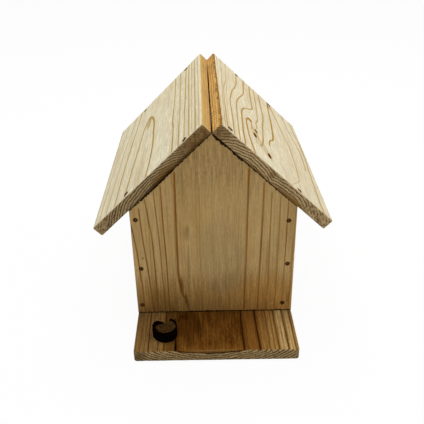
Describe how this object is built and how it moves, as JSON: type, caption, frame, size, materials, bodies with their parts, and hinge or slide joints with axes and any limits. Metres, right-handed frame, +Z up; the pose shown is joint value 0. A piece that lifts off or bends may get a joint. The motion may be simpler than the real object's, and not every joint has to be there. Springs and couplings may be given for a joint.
{
  "type": "birdhouse",
  "caption": "Nailed softwood birdhouse with a gable roof, a porch on its long floor board, a branch slice on the porch and an entrance hole in the far gable.",
  "frame": {"origin": "middle of the floor board's flat underside", "axes": "+Z up; +Y along the ridge, from the porch end to the gable with the entrance hole; +X to the right of someone who faces the porch"},
  "size_m": [0.2298, 0.308, 0.2211],
  "materials": {
    "roof_wood": "planed, unfinished, pale sapwood",
    "panel_wood": "planed, unfinished, tan",
    "floor_wood": "planed, unfinished, brown heartwood",
    "branch_wood": "sawn end grain",
    "bark": "dark dry bark",
    "nail_steel": "bright wire nail, lightly rusted"
  },
  "bodies": {
    "root": {"floor_board": "floor_wood", "front_panel": "panel_wood", "rear_panel": "panel_wood", "left_side_wall": "panel_wood", "right_side_wall": "panel_wood", "left_roof_board": "roof_wood", "right_roof_board": "roof_wood", "log_slice": "branch_wood", "log_bark": "bark", "front_panel_nails": "nail_steel", "rear_panel_nails": "nail_steel", "left_roof_nails": "nail_steel", "right_roof_nails": "nail_steel", "floor_nails": "nail_steel"}
  },
  "joints": []
}
